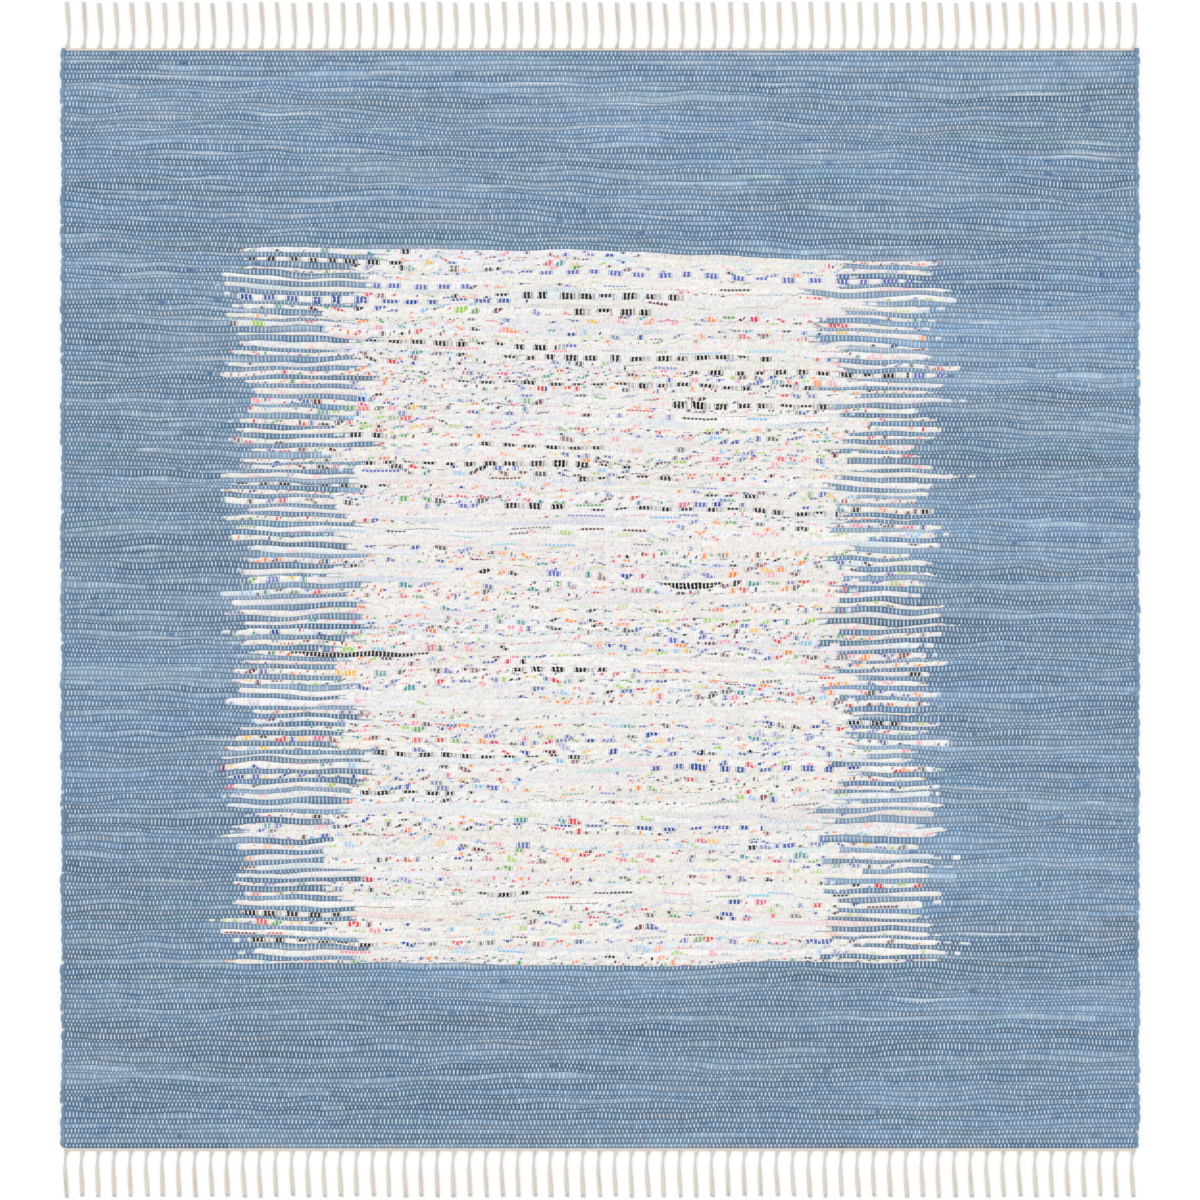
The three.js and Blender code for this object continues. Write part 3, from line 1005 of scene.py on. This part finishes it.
def weave_coordinates(first, last):
    """For each point of a band: warp ends across, picks along, and how much a turn covers it."""
    span = slice(ROWS * first, ROWS * last + 1)
    ends, picks = np.broadcast_arrays(end_places, pick_places[span, None])
    on_top = np.stack([ends, picks, cover[span]], axis=2).reshape(-1, 3)
    ends, picks = np.broadcast_arrays(end_places[under_columns], np.arange(first, last + 1)[:, None])
    below = np.stack([ends, picks, 0 * ends], axis=2).reshape(-1, 3)
    return np.concatenate([on_top, below])


def wall_dress(corner, number, weave, first, last, top_size):
    """The strip colours and the map of a band's wall: two along the selvedges, then two across."""
    end, pick = weave[corner, 0], weave[corner, 1]
    along = (pick - first) / (last - first) if number < 2 else end / ENDS
    base = UV_TOP + WALL_MAP["above"] + WALL_MAP["pitch"] * number
    height = base + (corner < top_size) * WALL_MAP["height"]
    nearest_pick = np.clip(pick.astype(int), first, last - 1)
    strip = chart[nearest_pick, 1, np.searchsorted(end_places, end)]
    return strip, np.stack([UV_EDGE + along * (1 - 2 * UV_EDGE), height], axis=1)


# %% Dress a band
def mark_grooves(mesh, rows):
    """Marks the edges along the grooves, and those of the walls and the underside, as sharp."""
    edge = np.zeros(2 * len(mesh.edges), int)
    mesh.edges.foreach_get("vertices", edge)
    edge_row = edge.reshape(-1, 2) // COLUMNS
    in_groove = (edge_row[:, 0] == edge_row[:, 1]) & (edge_row[:, 0] % ROWS == 0)
    attribute(mesh, "sharp_edge", "BOOLEAN", "EDGE", in_groove | (edge_row.max(axis=1) >= rows))


def dress_band(mesh, first, last, underside, walls, top_size):
    """Colours, weave coordinates, the UV map and sharp edges of a band."""
    rows = ROWS * (last - first) + 1
    row, column = np.divmod(grid_faces(rows, COLUMNS), COLUMNS)
    pick = first + row[:, :1] // ROWS
    place = row - ROWS * (pick - first)
    strips = [chart[pick, place, column].reshape(-1, 4)]
    ink = ink_layer[pick, place, column].reshape(-1, 4)
    maps = [relief_map(row, column, rows).reshape(-1, 2)]

    line, across = np.divmod(underside, len(under_columns))
    below = np.minimum(first + line.min(axis=1, keepdims=True), last - 1)
    strips.append(chart[below, 1, under_columns[across]].reshape(-1, 4))
    share = np.stack([across / (len(under_columns) - 1), line / (last - first) * UNDER_MAP], axis=2)
    maps.append((share * [1 - 2 * UV_EDGE, 1] + [UV_EDGE, UV_TOP + UV_EDGE]).reshape(-1, 2))

    weave = weave_coordinates(first, last)
    for number, wall in enumerate(walls):
        strip, wall_map = wall_dress(wall.ravel(), number, weave, first, last, top_size)
        strips.append(strip)
        maps.append(wall_map)
    strips = np.concatenate(strips)
    attribute(mesh, "strip", "FLOAT_COLOR", "CORNER", strips)
    attribute(mesh, "ink", "FLOAT_COLOR", "CORNER", np.concatenate([ink, 0 * strips[len(ink) :]]))
    attribute(mesh, "weave", "FLOAT_VECTOR", "POINT", weave)
    mesh.uv_layers.new(name="OFBake").data.foreach_set("uv", np.concatenate(maps).ravel())
    mark_grooves(mesh, rows)


# %% Build one band
UNDER_INSET = 1.5 * MM  # the underside is this much narrower at each selvedge


def weave_band(name, first, last):
    span = slice(ROWS * first, ROWS * last + 1)
    top = np.stack([surface_x[span], surface_y[span], surface_z[span]], axis=2)
    under = top[::ROWS, under_columns].copy()
    under[..., 2] = 0
    under[:, 0, 0] += UNDER_INSET
    under[:, -1, 0] -= UNDER_INSET
    points = np.concatenate([top.reshape(-1, 3), under.reshape(-1, 3)])

    top_index = np.arange(len(top) * COLUMNS).reshape(-1, COLUMNS)
    under_index = np.arange(top_index.size, len(points)).reshape(under.shape[:2])
    underside = grid_faces(*under_index.shape)[:, ::-1]
    along = (pick_places[span], np.arange(first, last + 1))
    across = (column_x, column_x[under_columns])
    walls = [
        zipped(top_index[:, 0], under_index[:, 0], *along)[:, ::-1],
        zipped(top_index[:, -1], under_index[:, -1], *along),
        zipped(top_index[0], under_index[0], *across),
        zipped(top_index[-1], under_index[-1], *across)[:, ::-1],
    ]
    faces = grid_faces(*top_index.shape).tolist() + (underside + top_index.size).tolist()
    for wall in walls:
        faces += wall.tolist()
    piece = new_piece(name, points, faces, cloth_material)
    dress_band(piece.data, first, last, underside, walls, top_index.size)
    return piece


# %% Weave the whole field
BAND_PICKS = 29
bands = []
for first in range(0, PICKS, BAND_PICKS):
    last = min(first + BAND_PICKS, PICKS)
    band = weave_band(f"woven_band_{len(bands) + 1}", first, last)
    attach(band, "root")
    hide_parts("woven_field")
    length = float(np.mean(grooves[last] - grooves[first]))
    bands.append(band)
print(len(bands), "bands,", sum(len(band.data.polygons) for band in bands), "faces")

# %% [markdown]
# ## The fringe
# Past the heading the warp ends are gathered, a few to a tassel: a short fan out of the heading, a tight
# neck, then a loose flat bundle that is cut off raggedly. Each warp end is its own tube, and a tassel's tubes
# are set round an oval that follows the frame's solids. All of one end's yarns and its heading are one mesh.

# %% The shape of a tassel
TASSELS = 67
TASSEL_SPAN = 1812 * MM
TASSEL_SECTIONS = [
    dict(along=-2, half_width=5.0, height=3.0, lean=0.2),
    dict(along=3, half_width=3.7, height=3.4, lean=1.0),
    dict(along=12, half_width=1.3, height=4.0, lean=2.7),
    dict(along=26, half_width=2.3, height=4.4, lean=3.5),
    dict(along=47, half_width=3.3, height=4.4, lean=2.5),
    dict(along=79.8, half_width=3.4, height=3.4, lean=0.4),
]


def section(name, along):
    """A smooth curve through one column of the tassel's table."""
    places = np.array([row["along"] for row in TASSEL_SECTIONS]) * MM
    values = np.array([row[name] for row in TASSEL_SECTIONS]) * MM
    slopes = np.gradient(values, places)
    i = np.clip(np.searchsorted(places, along) - 1, 0, len(places) - 2)
    width = places[i + 1] - places[i]
    t = np.clip((along - places[i]) / width, 0, 1)
    ease = t * t * (3 - 2 * t)
    bend = width * t * (1 - t) * ((1 - t) * slopes[i] - t * slopes[i + 1])
    return values[i] + ease * (values[i + 1] - values[i]) + bend


# %% The yarns of one fringe, as lines
YARNS = 8
YARN = dict(radius=1.2 * MM, least=0.85, spread=0.3)
YARN_STEPS = np.array([0, 0.06, 0.12, 0.18, 0.26, 0.36, 0.48, 0.62, 0.78, 0.92, 1.0])
NECK = dict(along=14 * MM, reach=9 * MM, squeeze=0.35)  # yarns are pulled thin in the tassel's neck
TIP_TAPER = 0.85
TWIST = 1.6  # radians that a bundle turns from root to tip
ANGLE_SPREAD = 0.5
TRIM = 2.5 * MM
SWAY = 1.2 * MM
SPLAY = 1.6 * MM
RAGGED = dict(depth=3.6 * MM, middle=0.6, own=0.4)  # a tip is cut back most in its middle


def yarn_paths(first_tassel):
    """The middle of every yarn: arrays of tassels by yarns by steps by (x, y, z), and the radii."""
    tassel = np.arange(TASSELS)[:, None, None]
    yarn = np.arange(YARNS)[None, :, None]
    number = first_tassel + tassel
    own = number * YARNS + yarn
    low, high = TASSEL_SECTIONS[0]["along"] * MM, TASSEL_SECTIONS[-1]["along"] * MM
    turned = 2 * np.pi * (yarn / YARNS + scatter(number, USE["first_angle"]))
    middle = 1 - np.abs(np.cos(turned + TWIST))
    ragged = RAGGED["middle"] * middle + RAGGED["own"] * scatter(own, USE["raggedness"])
    reach = high - TRIM * scatter(number, USE["trim"]) - RAGGED["depth"] * ragged
    along = low + YARN_STEPS * (reach - low)
    share = np.clip(along / high, 0, 1)
    neck = 1 - NECK["squeeze"] * np.exp(-((along - NECK["along"]) / NECK["reach"]) ** 2)
    radius = YARN["radius"] * (YARN["least"] + YARN["spread"] * scatter(own, USE["thickness"])) * neck
    radius = radius * np.where(YARN_STEPS == YARN_STEPS[-1], TIP_TAPER, 1)
    angle = turned + TWIST * share + ANGLE_SPREAD * (scatter(own, USE["own_angle"]) - 0.5)
    half_width = section("half_width", along) - radius
    half_height = np.maximum(section("height", along) / 2 - radius, 0)
    sway = SWAY * (2 * scatter(number, USE["sway"]) - 1) * share**2
    splay = SPLAY * (scatter(own, USE["splay"]) - 0.5) * share**3
    x = (tassel / (TASSELS - 1) - 0.5) * TASSEL_SPAN + section("lean", along) + sway + splay
    x = x + half_width * np.cos(angle)
    z = radius + half_height * (1 + np.sin(angle))
    return np.stack([x, along + 0 * x, z], axis=-1), radius


# %% The yarns as tubes
YARN_SIDES = 5
YARN_MAP = dict(margin=0.06, size=0.8, cap=0.93, cap_size=0.02)  # shares of a yarn's cell of the UV map


def yarn_tubes(first_tassel):
    """Points, faces, yarn coordinates and map places of all the yarns at one end."""
    path, radius = yarn_paths(first_tassel)
    steps = len(YARN_STEPS)
    round_angle = 2 * np.pi * np.arange(YARN_SIDES) / YARN_SIDES
    ring = np.stack([np.cos(round_angle), 0 * round_angle, np.sin(round_angle)], axis=1)
    points = path[..., None, :] + radius[..., None, None] * ring
    points[..., 2] = np.maximum(points[..., 2], 0)
    count = TASSELS * YARNS
    base = np.arange(count)[:, None, None] * steps * YARN_SIDES
    here = base + np.arange(steps - 1)[None, :, None] * YARN_SIDES
    side = np.arange(YARN_SIDES)
    after = (side + 1) % YARN_SIDES
    there = here + YARN_SIDES
    sides = np.stack([here + after, here + side, there + side, there + after], axis=-1)
    roots = base[:, 0] + side
    tips = base[:, 0] + (steps - 1) * YARN_SIDES + side[::-1]

    turn = np.stack([side + 1, side, side, side + 1], axis=-1) / YARN_SIDES
    place = np.arange(steps - 1)[:, None] + np.array([0, 0, 1, 1])
    length = YARN_STEPS[place][:, None, :]
    turn, length = np.broadcast_arrays(turn[None], length)
    cell = np.stack(np.divmod(np.arange(count), YARNS), axis=1)
    coordinates = np.stack([turn, length], axis=-1)
    size = np.array([1 / TASSELS, UV_TOP / YARNS])
    maps = (cell[:, None, None, None, :] + YARN_MAP["margin"] + YARN_MAP["size"] * coordinates[None]) * size
    caps = (cell[:, None, :] + YARN_MAP["cap"] + YARN_MAP["cap_size"] * ring[None][:, :, [0, 2]]) * size
    return points.reshape(-1, 3), sides.reshape(-1, 4), roots, tips, coordinates, maps, caps


# %% [markdown]
# ## The heading
# The heading is a narrow cord of cotton that every warp end wraps round, so it is a rounded bar with a rib
# at each warp end. It is made like a yarn: a ring of points carried along, fatter at each rib.

# %% The heading of one fringe
HEADING = dict(length=1814 * MM, width=4.2 * MM, height=3.2 * MM, gap=0.3 * MM, tuck=END_TUCK)
HEADING_RING = [(-0.5, 0), (-0.5, 0.62), (-0.22, 1), (0.22, 1), (0.5, 0.62), (0.5, 0)]
RIB = 0.2
HEADING_MAP = dict(above=0.02, height=0.06)  # the heading's strip of the UV map, above the yarns


def heading_bar():
    stations = 2 * round(HEADING["length"] / END_PITCH) + 1
    x = np.linspace(-0.5, 0.5, stations) * HEADING["length"]
    fat = 1 - RIB * (np.arange(stations) % 2)
    width = HEADING["width"] + HEADING["tuck"]
    ring = np.array(HEADING_RING) * [width, HEADING["height"]]
    points = np.zeros((stations, len(ring), 3))
    points[..., 0] = x[:, None]
    points[..., 1] = -width / 2 + ring[:, 0] * fat[:, None]
    points[..., 2] = ring[:, 1] * fat[:, None]
    side = np.arange(len(ring))
    after = (side + 1) % len(ring)
    here = np.arange(stations - 1)[:, None] * len(ring)
    there = here + len(ring)
    faces = np.stack([here + side, here + after, there + after, there + side], axis=-1)
    turn = np.stack([side, side + 1, side + 1, side], axis=-1) / len(ring)
    along = (np.arange(stations - 1)[:, None] + np.array([0, 0, 1, 1])) / (stations - 1)
    turn, along = np.broadcast_arrays(turn[None], along[:, None, :])
    up = UV_TOP + HEADING_MAP["above"] + HEADING_MAP["height"] * turn
    maps = np.stack([UV_EDGE + along * (1 - 2 * UV_EDGE), up], axis=-1)
    return points.reshape(-1, 3), faces.reshape(-1, 4), side, side[::-1] + (stations - 1) * len(ring), maps


# %% [markdown]
# ## Undyed cotton yarn
# The fringe is matt cream cotton. Two plies twist round each other, which shows as fine slanted grooves with
# painted shade in them, and each tassel has its own slight tint. The mesh gives the shader how far round and
# how far along a yarn it is.

# %% The material of the fringe
COTTON = linear(229, 221, 212)
COTTON_TINTS = [linear(231, 219, 211), linear(228, 223, 211)]
HEADING_COTTON = linear(225, 217, 208)
HEADING_ALONG = 2  # yarns run from 0 to 1, so the shader knows the heading by this
HEADING_EDGE = (1.2, 1.8)
TINT_SHARE = 0.5
# the grooves between the plies get painted shade, darkened towards this colour
PLY = dict(turns=26, edge=(-1.0, 0.2), shade=0.3, colour=COTTON * 0.72)
HAIRS = dict(turn=9, along=30, tassel=3, share=0.12, shades=[(0.4, 0.4, 0.4), (1.5, 1.5, 1.5)])
COTTON_ROUGH = dict(least=0.84, fuzz=0.12)
COTTON_BUMP = dict(ply=0.7, fuzz=0.4, strength=0.6, depth=0.4 * MM)


def warp_cotton():
    material, shader = new_material("warp_cotton")
    turn, along, tassel = axes(read_attribute("yarn")["Vector"])
    twist = Wire.maths("SINE", (2 * turn + PLY["turns"] * along) * (2 * math.pi))
    ply = step(twist, *PLY["edge"])
    hairs = {0: turn * HAIRS["turn"], 1: along * HAIRS["along"], 2: tassel * HAIRS["tassel"]}
    hairs = Wire.node("ShaderNodeCombineXYZ", None, hairs)
    fuzz = Wire.node("ShaderNodeTexNoise", None, {"Vector": hairs, "Scale": 1.0, "Detail": 3.0})
    luck = Wire.node("ShaderNodeTexWhiteNoise", {"noise_dimensions": "1D"}, {"W": tassel})
    cotton = blend(TINT_SHARE, colour(COTTON), blend(luck, *map(colour, COTTON_TINTS)))
    cotton = blend(step(along, *HEADING_EDGE), cotton, colour(HEADING_COTTON))
    # painted shade in the ply grooves
    shade = blend((1 - ply) * PLY["shade"], cotton, colour(PLY["colour"]))
    hairy = blend(fuzz, *map(colour, HAIRS["shades"]))
    plug(blend(HAIRS["share"], shade, hairy, "MULTIPLY"), shader, "Base Color")
    plug(COTTON_ROUGH["least"] + COTTON_ROUGH["fuzz"] * fuzz, shader, "Roughness")
    height = ply * COTTON_BUMP["ply"] + fuzz * COTTON_BUMP["fuzz"]
    sockets = {"Height": height, "Strength": COTTON_BUMP["strength"], "Distance": COTTON_BUMP["depth"]}
    plug(Wire.node("ShaderNodeBump", None, sockets), shader, "Normal")
    shader.inputs["Specular IOR Level"].default_value = MATT
    return material


cotton_material = warp_cotton()
print(cotton_material.name, len(cotton_material.node_tree.nodes), "nodes")


# %% Join the yarns and the heading of each end
HEADING_TURN = 0.25  # one place round a yarn for the whole heading, so it has no plies
TIP_MAP_STEP = 0.004  # a yarn's tip lies this far above its root in the UV map
HEADING_CAP = [0.5, UV_TOP + 0.095]


def weave_fringe(name, first_tassel, turned):
    yarn_points, sides, roots, tips, coordinates, yarn_maps, cap_maps = yarn_tubes(first_tassel)
    bar_points, bar_faces, bar_start, bar_stop, bar_maps = heading_bar()
    points = np.concatenate([yarn_points, bar_points])
    points[:, 1] += FIELD_LENGTH / 2 + HEADING["gap"] + HEADING["width"]
    if turned:
        points[:, :2] *= -1
    offset = len(yarn_points)
    bars = bar_faces + offset
    faces = sides.tolist() + roots.tolist() + tips.tolist() + bars.tolist()
    faces += [(bar_start + offset).tolist(), (bar_stop + offset).tolist()]
    piece = new_piece(name, points, faces, cotton_material)

    count = TASSELS * YARNS
    tassel = np.repeat(np.arange(count) // YARNS, coordinates.shape[0] * coordinates.shape[1] * 4)
    flat = np.broadcast_to(coordinates[None], (count, *coordinates.shape)).reshape(-1, 2)
    yarn = [np.column_stack([flat, tassel + first_tassel])]
    cap_tassel = np.repeat(np.arange(count) // YARNS, YARN_SIDES) + first_tassel
    cap = np.column_stack([0 * cap_tassel, 0 * cap_tassel, cap_tassel])
    bar_corners = bars.size + 2 * len(HEADING_RING)
    yarn += [cap, cap + [0, 1, 0], np.tile([HEADING_TURN, HEADING_ALONG, first_tassel], (bar_corners, 1))]
    bar_caps = np.tile(HEADING_CAP, (2 * len(HEADING_RING), 1))
    tip_maps = cap_maps + [0, TIP_MAP_STEP]
    maps = [part.reshape(-1, 2) for part in (yarn_maps, cap_maps, tip_maps, bar_maps, bar_caps)]
    attribute(piece.data, "yarn", "FLOAT_VECTOR", "CORNER", np.concatenate(yarn))
    piece.data.uv_layers.new(name="OFBake").data.foreach_set("uv", np.concatenate(maps).ravel())
    return piece


fringes = []
for number, (node, turned) in enumerate((("fringe_far", False), ("fringe_near", True))):
    fringe = weave_fringe(f"{node}_yarns", number * TASSELS, turned)
    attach(fringe, "root")
    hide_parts(node)
    fringes.append(fringe)
triangles = sum(len(face.vertices) - 2 for piece in bands + fringes for face in piece.data.polygons)
print(len(fringes), "fringes,", triangles, "triangles in all")

# %% [markdown]
# ## Floor, light and camera
# The rug lies on a plain white floor in soft, even light, seen from straight above. A long lens high up keeps
# the view free of perspective. A wide sun lamp and a bright sky light every part of the floor alike.

# %% Lay the floor
FLOOR_SIZE = 30.0
FLOOR_COLOUR = (0.96, 0.96, 0.96)
FLOOR_ROUGHNESS = 0.9
FLOOR_DROP = 0.2 * MM  # the floor lies this far below the rug, so that their faces don't coincide


def pale_floor():
    half = FLOOR_SIZE / 2
    corners = [(-half, -half, 0), (half, -half, 0), (half, half, 0), (-half, half, 0)]
    material, shader = new_material("pale_floor")
    shader.inputs["Base Color"].default_value = colour(FLOOR_COLOUR)
    shader.inputs["Roughness"].default_value = FLOOR_ROUGHNESS
    shader.inputs["Specular IOR Level"].default_value = 0.0
    floor_piece = new_piece("floor", corners, [(0, 1, 2, 3)], material)
    floor_piece.location.z = -FLOOR_DROP


pale_floor()

# %% Light it
SKY = 0.8
SUN = dict(strength=0.95, spread=60, turn=(-26, -16, 0))
world = bpy.data.worlds.new("studio")
world.use_nodes = True
world.node_tree.nodes["Background"].inputs["Color"].default_value = (1, 1, 1, 1)
world.node_tree.nodes["Background"].inputs["Strength"].default_value = SKY
bpy.context.scene.world = world
lamp = bpy.data.lights.new("key", "SUN")
lamp.energy = SUN["strength"]
lamp.angle = math.radians(SUN["spread"])
key = bpy.data.objects.new("key", lamp)
key.rotation_euler = [math.radians(angle) for angle in SUN["turn"]]
bpy.context.scene.collection.objects.link(key)
bpy.context.scene.view_settings.view_transform = "Standard"

# %% Look at it
PHOTO_PIXELS = 1200
RUG_PIXELS = 1077  # the field's width in the photograph
LENS = 100.0
OFF_CENTRE = -0.8 * MM  # the rug sits this much above the middle of the picture
camera = bpy.data.cameras.new("camera")
camera.lens = LENS
frame_width = FIELD_WIDTH * PHOTO_PIXELS / RUG_PIXELS
viewer = bpy.data.objects.new("camera", camera)
viewer.location = (0, OFF_CENTRE, frame_width * LENS / camera.sensor_width)
bpy.context.scene.collection.objects.link(viewer)
bpy.context.scene.camera = viewer
print(f"camera {viewer.location.z:.2f} m up, {frame_width:.3f} m across")
